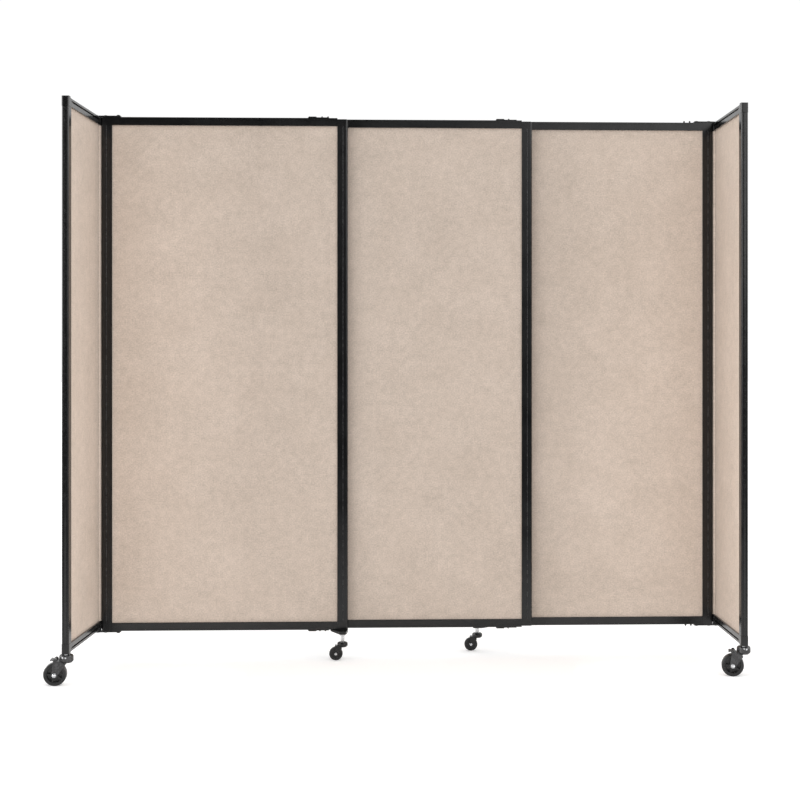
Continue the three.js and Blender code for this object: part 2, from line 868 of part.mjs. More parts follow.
// The large caster's fork has ears for the pedal, a hole for its axle and a slot for the stem's nut.
function forkWithEars(c) {
  const inner = c.wheelWidth / 2 + c.sideGap;
  const outer = inner + c.legThickness;
  const axleHole = crossRod(
    boreRadius(c.axleRadius, seatGap), outer + overrun, -c.trail, c.wheelRadius, stemSides,
  );
  const place = pedalPlace(c);
  const ears = crossRod(pedalEarRadius, outer, place.x, place.z, stemSides);
  const pedalSpace = crossRod(pedalEarRadius + overrun, inner, place.x, place.z, stemSides);
  const hole = crossRod(
    boreRadius(pedalTrunnionRadius, runningGap), outer + overrun, place.x, place.z, pinSides,
  );
  const slotFloor = nutBase(c, c.headTop + headGap) - runningGap;
  const nutSlot = block(
    -c.headSlotWidth / 2, c.headSlotWidth / 2, -c.headRadius - overrun, c.headRadius + overrun,
    slotFloor, c.headTop + overrun,
  );
  return geometryOf(cut(casterFork(c, ears), pedalSpace, hole, axleHole, nutSlot));
}

// The caster under a wing's end stile, turned about its stem.
function wingCasterAt(name, pivotX, pivotY, hand, splay, turn) {
  const c = wingCaster;
  const stemReach = wingReach - stileWidth / 2;
  const swing = degrees(splay);
  const group = new THREE.Group();
  group.position.x = pivotX + hand * stemReach * Math.sin(swing);
  group.position.y = pivotY - stemReach * Math.cos(swing);
  group.rotation.z = degrees(turn);
  const stem = casterStem(c, wingBottom - capRise, stemBoreTop + capRise);
  piece(group, `${name}_stem`, stem, zincFinish);
  piece(group, `${name}_fork`, forkWithEars(c), plasticFinish);
  piece(group, `${name}_wheel`, casterWheel(c), tyreFinish);
  piece(group, `${name}_axle`, casterAxle(c), zincFinish);
  piece(group, `${name}_brake_pedal`, brakePedal(c), plasticFinish);
  screen.add(group);
}

function panelCasterAt(name, x, y) {
  const c = panelCaster;
  const stem = casterStem(c, panelClearance - bracketDepth, bracketDepth);
  piece(screen, `${name}_stem`, stem, zincFinish, x, y);
  piece(screen, `${name}_fork`, forkWithRivet(c), plasticFinish, x, y);
  piece(screen, `${name}_wheel`, casterWheel(c), tyreFinish, x, y);
}

// Assembly
const leftX = -wallLength / 2;
const middleX = leftX + panelStep;
const rightX = middleX + panelStep;
const leftPanel = slidingPanel("left_panel", leftX, -planePitch, 0, cornerBlockDrop);
const middlePanel = slidingPanel("middle_panel", middleX, 0, cornerBlockDrop, cornerBlockDrop);
const rightPanel = slidingPanel("right_panel", rightX, planePitch, cornerBlockDrop, 0);
addGuides(leftPanel, "left_panel", leftGuideInset);
addGuides(middlePanel, "middle_panel", middleGuideInset);
addGlides(middlePanel, "middle_panel");
addGlides(rightPanel, "right_panel");

const leftPivotX = leftX - pivotOutboard;
const rightPivotX = rightX + panelWidth + pivotOutboard;
wing("left_wing", leftPivotX, -planePitch, -1, leftWingSplay);
wing("right_wing", rightPivotX, planePitch, 1, 0);
hinge("left", leftPivotX, -planePitch, 1);
hinge("right", rightPivotX, planePitch, -1);

const leftEdge = leftX + panelWidth;
piece(
  screen, "left_panel_caster_bracket", casterBracket(), steelFinish,
  leftEdge, -planePitch, panelClearance,
);
const backBracket = piece(
  screen, "right_panel_caster_bracket", casterBracket(), steelFinish,
  rightX, planePitch, panelClearance,
);
backBracket.rotation.z = Math.PI;

wingCasterAt("left_wing_caster", leftPivotX, -planePitch, -1, leftWingSplay, leftCasterTurn);
wingCasterAt("right_wing_caster", rightPivotX, planePitch, 1, 0, rightCasterTurn);
panelCasterAt("left_panel_caster", leftEdge - bracketStemInset, -planePitch - bracketReach);
panelCasterAt("right_panel_caster", rightX + bracketStemInset, planePitch + bracketReach);

// The part's origin is on the floor at the middle of its footprint.
const bounds = new THREE.Box3().setFromObject(screen, true);
const middle = bounds.getCenter(new THREE.Vector3());
screen.position.set(-middle.x, -middle.y, -bounds.min.z);

export default screen;
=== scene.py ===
"""Finishes a sliding privacy screen: felt infill, black frames, fittings, casters, studio."""

import json
import math

import bpy
from bpy.props import FloatProperty, FloatVectorProperty, IntProperty, PointerProperty
from mathutils import Matrix, Vector

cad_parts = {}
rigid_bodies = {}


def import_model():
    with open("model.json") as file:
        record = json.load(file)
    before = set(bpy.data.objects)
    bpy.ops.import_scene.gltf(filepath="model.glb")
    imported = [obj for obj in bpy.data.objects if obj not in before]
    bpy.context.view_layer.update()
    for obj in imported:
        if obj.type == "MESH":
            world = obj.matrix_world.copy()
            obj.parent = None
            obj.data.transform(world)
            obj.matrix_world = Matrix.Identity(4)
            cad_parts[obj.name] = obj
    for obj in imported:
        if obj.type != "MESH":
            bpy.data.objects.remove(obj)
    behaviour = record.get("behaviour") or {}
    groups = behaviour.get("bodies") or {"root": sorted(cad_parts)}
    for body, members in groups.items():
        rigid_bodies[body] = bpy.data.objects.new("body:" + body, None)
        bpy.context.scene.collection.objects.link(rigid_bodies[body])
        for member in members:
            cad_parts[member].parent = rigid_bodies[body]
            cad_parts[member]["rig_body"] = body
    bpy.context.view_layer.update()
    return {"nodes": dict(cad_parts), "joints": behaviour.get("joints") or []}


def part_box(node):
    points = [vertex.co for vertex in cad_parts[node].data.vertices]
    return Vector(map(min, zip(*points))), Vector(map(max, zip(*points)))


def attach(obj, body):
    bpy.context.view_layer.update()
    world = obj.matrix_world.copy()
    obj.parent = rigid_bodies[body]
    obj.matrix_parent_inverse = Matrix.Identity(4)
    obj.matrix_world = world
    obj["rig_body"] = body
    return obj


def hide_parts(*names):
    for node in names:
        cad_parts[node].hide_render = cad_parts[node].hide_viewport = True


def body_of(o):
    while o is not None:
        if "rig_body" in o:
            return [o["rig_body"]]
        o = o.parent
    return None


bl_info = {
    "name": "Sliding privacy screen",
    "version": (1, 0, 0),
    "blender": (4, 5, 0),
    "location": "View3D > Sidebar > Screen",
    "description": "Dresses a sliding privacy screen in felt, metal, plastic and fasteners",
    "category": "Object",
}

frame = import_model()

PANELS = ("left_panel", "middle_panel", "right_panel")
WINGS = ("left_wing", "right_wing")
CASTER_PANELS = ("left_panel", "right_panel")
ABOUT_Y = (math.pi / 2, 0, 0)
WHITE = (1, 1, 1, 1)
MM = 0.001
# Points closer than this are one point.
NEAR = 0.01 * MM
# A face looks along an axis when its normal has more than this of it.
FACING = 0.9


def amount(name, description, default, unit="NONE", least=0.0):
    """A weight, a power or another amount that a user can change."""
    return FloatProperty(
        name=name, description=description, unit=unit, min=least, default=default
    )


def length(name, description, default, least=0.1 * MM):
    """A length that a user can change."""
    return amount(name, description, default, "LENGTH", least)


def colour(name, description, default):
    """A colour that a user can change."""
    return FloatVectorProperty(
        name=name, description=description, subtype="COLOR", size=3, min=0, max=1, default=default
    )


def share(name, description, default):
    """A roughness from 0 to 1 that a user can change."""
    return FloatProperty(
        name=name, description=description, subtype="FACTOR", min=0, max=1, default=default
    )


def count(name, description, default, least, most):
    """A number of facets or spokes that a user can change."""
    return IntProperty(name=name, description=description, min=least, max=most, default=default)


class FeltSettings(bpy.types.PropertyGroup):
    """Sizes and colours of the felt infill."""

    warm_fibre: colour("Warm fibre", "Colour of the felt's warmer clouds", (0.607, 0.498, 0.414))
    light_fibre: colour("Light fibre", "Colour of the palest fibres", (0.830, 0.700, 0.607))
    dark_fibre: colour("Dark fibre", "Colour of the darkest fibres", (0.360, 0.300, 0.245))
    fibre_width: length("Fibre width", "Width of one bundle of fibres", 0.0012)
    fibre_length: length("Fibre length", "Length of one bundle of fibres", 0.009)
    tuft_size: length("Tuft size", "Width of the tufts of the surface", 0.0056)
    patch_size: length("Patch size", "Width of the small patches", 0.026)
    cloud_size: length("Cloud size", "Width of the soft mottling", 0.11)
    fibre_weight: amount("Fibre weight", "How strongly the fibres show", 3.6)
    tuft_weight: amount("Tuft weight", "How strongly the tufts show", 3.4)
    patch_weight: amount("Patch weight", "How strongly the small patches show", 1.5)
    cloud_weight: amount("Cloud weight", "How strongly the soft mottling shows", 1.0)
    broad_weight: amount("Broad weight", "How strongly the broadest mottling shows", 0.8)
    sleeve_radius: length("Sleeve radius", "Outer radius of the felt round a hinge post", 0.01495)
    sleeve_thickness: length("Sleeve thickness", "Thickness of the felt round a hinge post", 0.0004)
    sleeve_sides: count("Sleeve sides", "Facets round the felt of a hinge post", 96, 24, 256)
    board_half: length("Board half", "Half the sleeve's opening for the board", 0.00645)


class FrameSettings(bpy.types.PropertyGroup):
    """Colours and gloss of the metal and plastic parts."""

    bar_colour: colour("Bar colour", "Black coating of the extrusions", (0.0058, 0.0058, 0.0060))
    bar_roughness: share("Bar roughness", "Roughness of the extrusions' coating", 0.2)
    steel_roughness: share("Steel roughness", "Roughness of the straps, guides and bolts", 0.32)
    zinc_colour: colour("Zinc colour", "Bright zinc of stems, nuts and pins", (0.78, 0.79, 0.81))
    plastic_colour: colour("Plastic colour", "Moulded black plastic", (0.0060, 0.0060, 0.0063))
    plastic_roughness: share("Plastic roughness", "Roughness of the moulded plastic", 0.24)
    nylon_roughness: share("Nylon roughness", "Roughness of the glides and bushes", 0.5)
    # This grey also paints the glint line of the stile beads, and partly the lit look of the large
    # forks' legs.
    fork_and_glint_colour: colour("Fork colour", "Plastic of large forks and beads", (0.036, 0.036, 0.037))
    fork_roughness: share("Fork roughness", "Roughness of the large forks", 0.26)
    rubber_colour: colour("Rubber colour", "Tread of the wheels", (0.011, 0.011, 0.0114))
    rubber_roughness: share("Rubber roughness", "Roughness of the tread", 0.36)


class FastenerSettings(bpy.types.PropertyGroup):
    """Sizes of the screws, bolts and washers."""

    bolt_radius: length("Bolt head radius", "Radius of a strap bolt's head", 0.0062)
    bolt_height: length("Bolt head height", "Height of the low strap bolt's head", 0.0024)
    tall_bolt_height: length("Tall bolt height", "Height of a strap bolt on a spacer", 0.0040)
    spacer_height: length("Spacer height", "Height of the spacer under a strap bolt", 0.0014)
    washer_rim: length("Washer rim", "How far a washer stands out from its bolt", 0.0022, least=0)
    screw_radius: length("Screw head radius", "Radius of a guide or bracket screw", 0.0045)
    screw_height: length("Screw head height", "Height of a guide or bracket screw", 0.0038)
    pin_radius: length("Pin radius", "Radius of the pins through the rails", 0.0034)
    pin_height: length("Pin height", "How far the pins stand out of the rails", 0.0088)
    sides: count("Sides", "Facets round a head", 32, 12, 128)


class WheelSettings(bpy.types.PropertyGroup):
    """Sizes of one kind of wheel."""

    width: length("Width", "Width of the tyre", 0.0376)
    shoulder: length("Shoulder", "Rounding of the tyre's shoulders", 0.0045)
    tread: length("Tread", "Thickness of the tyre on its hub", 0.010)
    recess: length("Recess", "Depth of the hub's dished face", 0.003, least=0)
    boss: length("Boss radius", "Radius of the boss round the axle", 0.0125)
    bore: length("Bore radius", "Radius of the bore for the axle", 0.0053)
    spokes: count("Spokes", "Spokes in each face, or none for a plain face", 5, 0, 12)
    spoke_width: length("Spoke width", "Width of a spoke", 0.0055)


class CasterSettings(bpy.types.PropertyGroup):
    """Detail of the casters."""

    large: PointerProperty(type=WheelSettings)
    small: PointerProperty(type=WheelSettings)
    grain: length("Moulding grain", "Size of the facets that a fork is smoothed from", 0.0009)
    rivet_radius: length("Rivet radius", "Radius of the rivet heads of a small caster", 0.0059)
    rivet_reach: length("Rivet reach", "From a small wheel's middle to its rivet's end", 0.0189)
    sides: count("Sides", "Facets round a wheel", 96, 24, 256)


class StudioSettings(bpy.types.PropertyGroup):
    """Camera and light."""

    distance: length("Distance", "From the front of the left panel to the camera", 6.387)
    height: length("Height", "Height of the camera over the floor", 1.171)
    offset: length("Offset", "Camera to the right of the wall's middle", -0.101, least=-5)
    yaw: amount("Yaw", "Turn of the camera to the right", math.radians(2.11), "ROTATION")
    focal: amount("Focal length", "In pixels of the frame", 1663)
    shift: FloatVectorProperty(
        name="Shift", description="Of the optical axis, in pixels of the frame", size=2,
        default=(46.1, -47.5),
    )
    light: amount("Light", "Strength of the soft light from all round", 1.025)
    strip_length: length("Strip length", "Length of the low lights", 7)
    strip_height: length("Strip height", "Height of the low lights", 0.3)
    strip_distance: length("Strip distance", "From the wall to the low lights", 1.4)
    strip_power: amount("Strip power", "Power of each low light", 5, "POWER")
    fill_height: length("Fill height", "Height of the lights for the wings", 2.1)
    fill_width: length("Fill width", "Width of the lights for the wings", 0.8)
    fill_distance: length("Fill distance", "From a wing to its light", 0.6)
    fill_forward: length("Fill forward", "From the wall to the lights for the wings", 0.78)
    left_power: amount("Left power", "Power of the light for the left wing", 3.35, "POWER")
    right_power: amount("Right power", "Power of the light for the right wing", 4.35, "POWER")
    near_floor: length("Near floor", "How far out the floor is bright in reflections", 1.8)
    far_floor: length("Far floor", "From where the floor is dark in reflections", 4.5)
    floor: length("Floor size", "Side of the floor", 120)


def settings():
    return bpy.context.scene.screen_settings


# Nodes


class Shader:
    """A material's or world's node tree, with short calls to add and link nodes."""

    def __init__(self, tree):
        tree.nodes.clear()
        self.tree = tree

    def node(self, kind, inputs=(), **facts):
        made = self.tree.nodes.new(kind)
        for name, value in facts.items():
            setattr(made, name, value)
        for name, value in dict(inputs).items():
            self.feed(made.inputs[name], value)
        return made

    def feed(self, socket, value):
        if isinstance(value, bpy.types.NodeSocket):
            self.tree.links.new(value, socket)
        elif isinstance(value, bpy.types.Node):
            self.tree.links.new(value.outputs[0], socket)
        else:
            socket.default_value = value

    def maths(self, operation, a, b, c=0.5):
        return self.node("ShaderNodeMath", {0: a, 1: b, 2: c}, operation=operation)

    def fade(self, value, low, high, start=0.0, end=1.0):
        return self.node(
            "ShaderNodeMapRange",
            {"Value": value, "From Min": low, "From Max": high, "To Min": start, "To Max": end},
            interpolation_type="SMOOTHSTEP",
        )

    def noise(self, vector, scale, detail=2.0, roughness=0.5):
        return self.node(
            "ShaderNodeTexNoise",
            {"Vector": vector, "Scale": scale, "Detail": detail, "Roughness": roughness},
        )

    def blend(self, factor, a, b):
        """Blends two colours. A Mix node keeps its colours in these sockets."""
        first, second, result = 6, 7, 2
        made = self.node("ShaderNodeMix", data_type="RGBA")
        self.feed(made.inputs["Factor"], factor)
        self.feed(made.inputs[first], a)
        self.feed(made.inputs[second], b)
        return made.outputs[result]

    def stretch(self, vector, scale, turn=0.0):
        return self.node(
            "ShaderNodeMapping", {"Vector": vector, "Scale": scale, "Rotation": (0, 0, turn)}
        )

    def finish(self, surface, kind="ShaderNodeOutputMaterial"):
        self.feed(self.node(kind).inputs["Surface"], surface)

    def skin(self, tone, rough, height, depth, others, strength=0.5):
        """Finishes a material with a surface that has a fine relief."""
        relief = self.node(
            "ShaderNodeBump", {"Height": height, "Distance": depth, "Strength": strength}
        )
        inputs = {"Base Color": tone, "Roughness": rough, "Normal": relief, **others}
        self.finish(self.node("ShaderNodeBsdfPrincipled", inputs))


def rgba(tint, factor=1.0):
    return tuple(part * factor for part in tint) + (1.0,)


def new_material(name):
    made = bpy.data.materials.new(name)
    made.use_nodes = True
    return made, Shader(made.node_tree)


def object_coordinates(shader):
    return shader.node("ShaderNodeTexCoord").outputs["Object"]


def felt_material(s):
    """Pressed felt: short fibres in several directions over soft clouds."""
    made, shader = new_material("beige_felt")
    place = shader.node("ShaderNodeSeparateXYZ", {"Vector": object_coordinates(shader)})
    along = shader.maths("ADD", place.outputs["X"], place.outputs["Y"])
    face = shader.node("ShaderNodeCombineXYZ", {"X": along, "Y": place.outputs["Z"]})
    layers = []
    fibre_turns = (0.35, 1.25, 2.2, 2.9)
    for turn in fibre_turns:
        stretched = shader.stretch(face, (1 / s.fibre_length, 1 / s.fibre_width, 1), turn)
        layers.append(shader.noise(stretched, 1.0, detail=3.0, roughness=0.6))
    fibres = layers[0]
    for layer in layers[1:]:
        fibres = shader.maths("ADD", fibres, layer)
    fibres = shader.maths("MULTIPLY", fibres, 1 / len(layers))
    tufts = shader.noise(face, 1 / s.tuft_size, roughness=0.6)
    broad_size = 4 * s.cloud_size
    weighted = (
        (fibres, s.fibre_weight),
        (tufts, s.tuft_weight),
        (shader.noise(face, 1 / s.patch_size), s.patch_weight),
        (shader.noise(face, 1 / s.cloud_size), s.cloud_weight),
        (shader.noise(face, 1 / broad_size, detail=1.0), s.broad_weight),
    )
    shade = -sum(strength for layer, strength in weighted) / 2
    for layer, strength in weighted:
        shade = shader.maths("MULTIPLY_ADD", layer, strength, shade)
    reach = 2.0
    mixed = shader.node(
        "ShaderNodeMapRange", {"Value": shade, "From Min": -reach, "From Max": reach}
    )
    tone = shader.blend(mixed, rgba(s.dark_fibre), rgba(s.light_fibre))
    warm = shader.fade(shader.noise(face, 0.7 / s.cloud_size), low=0.35, high=0.65, end=0.15)
    tone = shader.blend(warm, tone, rgba(s.warm_fibre))
    relief = shader.maths("MULTIPLY_ADD", tufts, 0.5, fibres)
    nap = {"Specular IOR Level": 0.15, "Sheen Weight": 0.06, "Sheen Roughness": 0.5}
    shader.skin(tone, 0.95, relief, 0.6 * MM, nap)
    return made


def coated_material(name, tint, roughness, along_x):
    """Satin black coating on an extrusion, with faint die lines along its length."""
    made, shader = new_material(name)
    place = object_coordinates(shader)
    along, across = 12, 900
    lines = (along, across, across) if along_x else (across, across, along)
    die_lines = shader.noise(shader.stretch(place, lines), 1.0)
    peel = shader.noise(place, scale=700)
    haze = shader.noise(place, scale=9, detail=3.0, roughness=0.6)
    height = shader.maths("MULTIPLY_ADD", die_lines, 0.4, peel)
    low, high = 0.3, 0.7
    rough = shader.fade(haze, low, high, start=roughness * 0.85, end=roughness * 1.25)
    tone = shader.blend(shader.fade(haze, low, high), rgba(tint, 0.85), rgba(tint, 1.2))
    shader.skin(tone, rough, height, 0.03 * MM, {"IOR": 1.5})
    return made


def moulded_material(name, tint, roughness, grain):
    """Moulded plastic or rubber with a fine grain, whose size is 1 / grain."""
    made, shader = new_material(name)
    place = object_coordinates(shader)
    speckle = shader.noise(place, grain, detail=3.0, roughness=0.6)
    scuff = shader.noise(place, scale=60, detail=4.0, roughness=0.65)
    rough = shader.fade(scuff, low=0.35, high=0.7, start=roughness * 0.85, end=roughness * 1.3)
    worn = shader.fade(scuff, low=0.35, high=0.75)
    tone = shader.blend(worn, rgba(tint, 0.85), rgba(tint, 1.6))
    shader.skin(tone, rough, speckle, 0.05 * MM, {"IOR": 1.5}, strength=0.6)
    return made


def zinc_material(tint):
    """Bright zinc plate with a slightly cloudy skin."""
    made, shader = new_material("bright_zinc")
    place = object_coordinates(shader)
    cloud = shader.noise(place, scale=220, detail=3.0, roughness=0.6)
    round_part, along_part = 150, 2500
    turning = shader.stretch(place, (round_part, round_part, along_part))
    rings = shader.noise(turning, 1.0)
    rough = shader.fade(cloud, low=0.3, high=0.7, start=0.2, end=0.38)
    dull = shader.fade(cloud, low=0.3, high=0.75)
    tone = shader.blend(dull, rgba(tint, 0.86), rgba(tint))
    shader.skin(tone, rough, rings, 0.02 * MM, {"Metallic": 1.0})
    return made


def finish_named(name):
    """One of the finishes, made once."""
    made = bpy.data.materials.get(name)
    if made:
        return made
    f = settings().frame
    if name == "beige_felt":
        return felt_material(settings().felt)
    if name == "bright_zinc":
        return zinc_material(f.zinc_colour)
    if name.startswith("coated"):
        roughness = f.steel_roughness if name == "coated_steel" else f.bar_roughness
        along_x = name in ("coated_rail", "coated_steel")
        return coated_material(name, f.bar_colour, roughness, along_x)
    mouldings = {
        "black_plastic": (f.plastic_colour, f.plastic_roughness, 1800),
        # Pale grey: the painted glint of the stile beads, and the large forks, partly painted
        # highlight on their legs.
        "grey_plastic_and_glint": (f.fork_and_glint_colour, f.fork_roughness, 1800),
        "black_nylon": (f.plastic_colour, f.nylon_roughness, 1200),
        "black_rubber": (f.rubber_colour, f.rubber_roughness, 1500),
    }
    tint, roughness, grain = mouldings[name]
    return moulded_material(name, tint, roughness, grain)


def dress(obj, finish):
    obj.data.materials.clear()
    obj.data.materials.append(finish_named(finish))


# Modelling


def deselect():
    if bpy.context.object and bpy.context.object.mode != "OBJECT":
        bpy.ops.object.mode_set(mode="OBJECT")
    bpy.ops.object.select_all(action="DESELECT")


def select_only(obj):
    deselect()
    obj.select_set(True)
    bpy.context.view_layer.objects.active = obj


def start_rod(name, radius, depth, sides, **facts):
    """A round rod along Z, or turned and placed by the facts."""
    deselect()
    bpy.ops.mesh.primitive_cylinder_add(vertices=sides, radius=radius, depth=depth, **facts)
    bpy.context.object.name = name
    return bpy.context.object


def stand_rod(name, radius, foot, top, sides, place=Vector(), turn=0.0):
    """A round rod that stands at a place, between two heights."""
    middle = (place.x, place.y, (foot + top) / 2)
    return bake(start_rod(name, radius, top - foot, sides, location=middle, rotation=(0, 0, turn)))


def start_bar(name, size, location=(0, 0, 0)):
    """A rectangular bar of this size."""
    deselect()
    bpy.ops.mesh.primitive_cube_add(size=1, location=location)
    bar = bpy.context.object
    bar.name = name
    bar.scale = size
    return bar


def pick_faces(obj, test):
    """Selects the faces that pass the test, in edit mode."""
    bpy.ops.object.mode_set(mode="EDIT")
    bpy.ops.mesh.select_mode(type="FACE")
    bpy.ops.mesh.select_all(action="DESELECT")
    bpy.ops.object.mode_set(mode="OBJECT")
    for face in obj.data.polygons:
        face.select = test(face)
    bpy.ops.object.mode_set(mode="EDIT")


def pick_edges(obj, test):
    """Selects the edges whose two ends pass the test together, in edit mode."""
    bpy.ops.object.mode_set(mode="EDIT")
    bpy.ops.mesh.select_mode(type="EDGE")
    bpy.ops.mesh.select_all(action="DESELECT")
    bpy.ops.object.mode_set(mode="OBJECT")
    points = obj.data.vertices
    for edge in obj.data.edges:
        edge.select = test(*(points[i].co for i in edge.vertices))
    bpy.ops.object.mode_set(mode="EDIT")


def leave_edit():
    bpy.ops.object.mode_set(mode="OBJECT")


def round_edges(obj, test, width, segments):
    """Rounds the edges whose two ends pass the test together."""
    pick_edges(obj, test)
    bpy.ops.mesh.bevel(offset=width, segments=segments, profile=0.5)
    leave_edit()


def round_top(obj, top, width, segments):
    """Rounds the edges that lie at the height of the top."""
    round_edges(obj, lambda a, b: min(a.z, b.z) > top - NEAR, width, segments)


def bake(obj, place=Matrix()):
    """Puts the object's own transform and then a place into its mesh."""
    obj.data.transform(place @ obj.matrix_basis)
    obj.matrix_basis = Matrix()
    obj.data.update()
    return obj


def smooth(obj, angle=40):
    select_only(obj)
    bpy.ops.object.shade_smooth_by_angle(angle=math.radians(angle))


def use_modifier(obj, kind, **facts):
    select_only(obj)
    made = obj.modifiers.new("step", kind)
    for name, value in facts.items():
        setattr(made, name, value)
    bpy.ops.object.modifier_apply(modifier=made.name)


def cut_out(obj, tool):
    use_modifier(obj, "BOOLEAN", operation="DIFFERENCE", solver="EXACT", object=tool)
    bpy.data.objects.remove(tool)


def join(first, others):
    select_only(first)
    for obj in others:
        obj.select_set(True)
    bpy.ops.object.join()


def copy_of(obj, name):
    made = obj.copy()
    made.data = obj.data.copy()
    made.name = name
    bpy.context.collection.objects.link(made)
    return made


def copy_of_node(node, name):
    """A copy of a solid, with its loose triangles merged."""
    made = copy_of(frame["nodes"][node], name)
    made.parent = None
    bake(made)
    use_modifier(made, "WELD", merge_threshold=NEAR)
    return made


def hand_over(obj, body, finish):
    """Gives a finished piece its body and its finish."""
    dress(obj, finish)
    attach(obj, body)


def domed_head(name, radius, height, sides, washer=0.0, collar=0.0):
    """A domed head with a hexagon socket. It stands on z = 0, on its spacer and washer if any."""
    round_share = 0.55
    socket_share = 0.48
    spacer_share = 0.82
    washer_thick = 1.2 * MM
    washer_round_share = 0.4
    dome = height - collar
    head = stand_rod(name, radius, collar, height, sides)
    round_top(head, height, dome * round_share, segments=4)
    socket = stand_rod("socket", radius * socket_share, height - dome / 2, height + dome / 2, 6)
    cut_out(head, socket)
    parts = []
    if collar:
        parts.append(stand_rod("spacer", radius * spacer_share, 0, collar, sides))
    if washer:
        ring = stand_rod("washer", radius + washer, 0, washer_thick, sides)
        round_top(ring, washer_thick, washer_thick * washer_round_share, segments=2)
        parts.append(ring)
    if parts:
        join(head, parts)
    smooth(head)
    return head


def fasten(pattern, places):
    """One black copy of a head at each place: (name, body, position, upside down)."""
    for name, body, position, flipped in places:
        made = copy_of(pattern, name)
        turn = Matrix.Rotation(math.pi, 4, "X") if flipped else Matrix()
        bake(made, Matrix.Translation(position) @ turn)
        hand_over(made, body, "coated_steel")
    bpy.data.objects.remove(pattern)


def centre(node):
    low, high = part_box(node)
    return (Vector(low) + Vector(high)) / 2


def joint(name):
    return next(j for j in frame["joints"] if j["name"] == name)


def wing_pivot(wing):
    """A point on the axis of the wing's hinge."""
    return Vector(joint(f"{wing}_hinge")["pos_m"])


def wing_along(wing):
    """The level direction of the wing's board, away from its hinge."""
    pivot = wing_pivot(wing)
    stem = Vector(joint(f"{wing}_caster_swivel")["pos_m"])
    return Vector((stem.x - pivot.x, stem.y - pivot.y, 0)).normalized()


def wing_heading(wing):
    """The angle of the wing's board about Z."""
    along = wing_along(wing)
    return math.atan2(along.y, along.x)


def wing_turn(wing):
    """Turns a piece that lies along +X to lie along the wing's board."""
    return Matrix.Rotation(wing_heading(wing), 4, "Z")


def wing_inward(wing):
    """The direction that the wing's inner face looks."""
    along = wing_along(wing)
    across = Vector((-along.y, along.x, 0))
    return across if wing == "left_wing" else -across


def between_rails(panel, gap):
    """The heights where a piece that stands between a panel's rails starts and ends."""
    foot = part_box(f"{panel}_bottom_rail")[1].z + gap
    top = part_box(f"{panel}_top_rail")[0].z - gap
    return foot, top


def wheel_place(carrier):
    """Where a caster's wheel turns: from a wheel about +Y at the origin."""
    spin = joint(f"{carrier}_caster_wheel_spin")
    turn = Vector((0, 1, 0)).rotation_difference(Vector(spin["axis"]))
    return Matrix.Translation(spin["pos_m"]) @ turn.to_matrix().to_4x4()


# Operators


class SCREEN_OT_cover_boards(bpy.types.Operator):
    """Covers the infill boards with felt"""

    bl_idname = "screen.cover_boards"
    bl_label = "Cover boards"

    def execute(self, context):
        for name in PANELS + WINGS:
            dress(frame["nodes"][f"{name}_board"], "beige_felt")
        return {"FINISHED"}


class SCREEN_OT_wrap_posts(bpy.types.Operator):
    """Wraps the round hinge post of each wing in felt"""

    bl_idname = "screen.wrap_posts"
    bl_label = "Wrap posts"

    end_gap = 0.6 * MM
    edge_share = 0.4

    def execute(self, context):
        s = settings().felt
        half_open = math.asin(s.board_half / s.sleeve_radius)
        for wing in WINGS:
            pivot = wing_pivot(wing)
            towards_board = wing_heading(wing)
            low, high = between_rails(wing, self.end_gap)
            sleeve = stand_rod(
                f"{wing}_post_felt", s.sleeve_radius, low, high, s.sleeve_sides, pivot,
                towards_board,
            )

            def uncovered(face):
                if abs(face.normal.z) > FACING:
                    return True
                angle = math.atan2(face.center.y - pivot.y, face.center.x - pivot.x)
                return abs(math.remainder(angle - towards_board, 2 * math.pi)) < half_open

            pick_faces(sleeve, uncovered)
            bpy.ops.mesh.delete(type="FACE")
            leave_edit()
            use_modifier(sleeve, "SOLIDIFY", thickness=s.sleeve_thickness, offset=-1)
            edge = s.sleeve_thickness * self.edge_share
            use_modifier(sleeve, "BEVEL", width=edge, segments=2)
            smooth(sleeve)
            hand_over(sleeve, wing, "beige_felt")
        return {"FINISHED"}


class SCREEN_OT_cap_posts(bpy.types.Operator):
    """Puts a round cap on each end of the hinge posts and a bush under it"""

    bl_idname = "screen.cap_posts"
    bl_label = "Cap posts"

    radius = 15 * MM
    bush_radius = 13.5 * MM
    bore = 9.1 * MM
    edge = 1.2 * MM
    clear = 0.25 * MM
    sides = 64
    bore_sides = 48

    def ring(self, name, radius, low, high, pivot):
        """A rounded ring about the pivot between two heights."""
        ring = stand_rod(name, radius, low, high, self.sides, pivot)

        def at_an_end(a, b):
            return any(abs(a.z - z) + abs(b.z - z) < NEAR for z in (low, high))

        round_edges(ring, at_an_end, self.edge, segments=4)
        over = (high - low) / 2
        tool = stand_rod("bore", self.bore, low - over, high + over, self.bore_sides, pivot)
        cut_out(ring, tool)
        smooth(ring)
        return ring

    def execute(self, context):
        for wing in WINGS:
            pivot = wing_pivot(wing)
            for level in ("top", "bottom"):
                low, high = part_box(f"{wing}_{level}_rail")
                foot = low.z + (self.clear if level == "bottom" else 0)
                top = high.z - (self.clear if level == "top" else 0)
                cap = self.ring(f"{wing}_{level}_post_cap", self.radius, foot, top, pivot)
                hand_over(cap, wing, "black_plastic")
            strap = wing.replace("wing", "hinge") + "_bottom_strap"
            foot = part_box(strap)[1].z + self.clear
            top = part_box(f"{wing}_bottom_rail")[0].z - self.clear
            bush = self.ring(f"{wing}_post_bush", self.bush_radius, foot, top, pivot)
            hand_over(bush, wing, "black_nylon")
        return {"FINISHED"}


